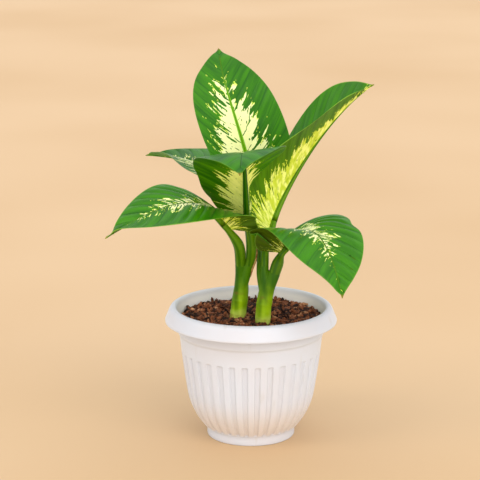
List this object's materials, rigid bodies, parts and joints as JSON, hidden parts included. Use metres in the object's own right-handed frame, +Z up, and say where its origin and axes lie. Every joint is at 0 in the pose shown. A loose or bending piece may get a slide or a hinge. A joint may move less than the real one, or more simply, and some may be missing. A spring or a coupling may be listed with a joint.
{
  "type": "potted dieffenbachia",
  "caption": "Potted dieffenbachia with cream-splashed green leaves on two sheathed shoots, in a white fluted plastic pot with a rolled rim, filled with chunky potting mix.",
  "frame": {"origin": "middle of the pot's flat foot, on the surface it stands on", "axes": "+Z up; the plant's best side, the one the picture shows, faces -Y; +X is to the right of that view"},
  "size_m": [0.2486, 0.3062, 0.3654],
  "materials": {
    "pot_plastic": "white moulded plastic with a soft sheen",
    "coir_mix": "rough dark brown crumbs and fibres",
    "stem_skin": "smooth fresh green with a waxy sheen",
    "leaf_skin": "green with cream splashes along the veins, satin above, paler below"
  },
  "bodies": {
    "root": {"pot": "pot_plastic", "potting_mix": "coir_mix", "stem_left": "stem_skin", "stem_right": "stem_skin", "leaf_back": "leaf_skin", "leaf_right": "leaf_skin", "leaf_front": "leaf_skin", "leaf_upper_left": "leaf_skin", "leaf_lower_left": "leaf_skin", "leaf_lower_right": "leaf_skin"}
  },
  "joints": []
}
